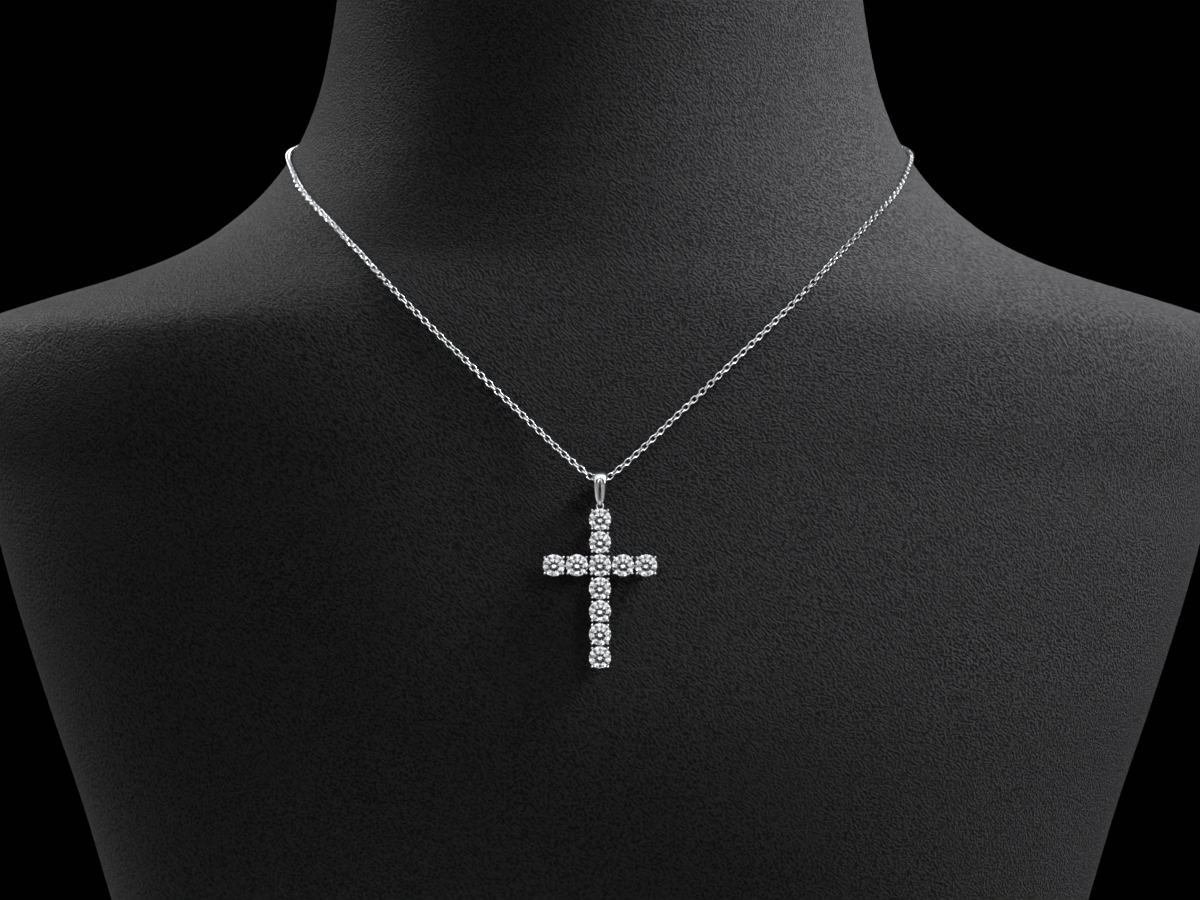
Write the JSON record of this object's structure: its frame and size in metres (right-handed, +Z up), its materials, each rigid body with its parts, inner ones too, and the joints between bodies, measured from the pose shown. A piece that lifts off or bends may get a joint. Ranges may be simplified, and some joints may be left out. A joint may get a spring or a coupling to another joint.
{
  "type": "cross pendant necklace on a display neck bust",
  "caption": "Cross pendant of round claw-set stones, hung by a split bail from a fine cable chain with a ring clasp, worn by a plain leatherette display bust with neck and shoulders.",
  "frame": {"origin": "centre of the bust's flat base, on the surface it stands on", "axes": "+Z up the neck, -Y out of the chest towards the viewer, +X across the shoulders"},
  "size_m": [0.271, 0.1299, 0.296],
  "materials": {
    "leatherette": "fine grained black leatherette, matte",
    "white_metal": "polished white metal",
    "stone": "clear, round brilliant cut"
  },
  "bodies": {
    "root": {"bust": "leatherette", "chain": "white_metal", "clasp": "white_metal"},
    "bail": {"bail": "white_metal"},
    "cross": {"setting": "white_metal", "stone_01": "stone", "stone_02": "stone", "stone_03": "stone", "stone_04": "stone", "stone_05": "stone", "stone_06": "stone", "stone_07": "stone", "stone_08": "stone", "stone_09": "stone", "stone_10": "stone", "stone_11": "stone"}
  },
  "joints": [
    {"name": "bail_swing", "type": "hinge", "parent": "root", "child": "bail", "pos_m": [0, -0.06426, 0.15876], "axis": [-1, 0, 0], "range_deg": [0, 110]},
    {"name": "cross_swing", "type": "hinge", "parent": "bail", "child": "cross", "pos_m": [0, -0.06439, 0.15438], "axis": [-1, 0, 0], "range_deg": [0, 60]}
  ]
}
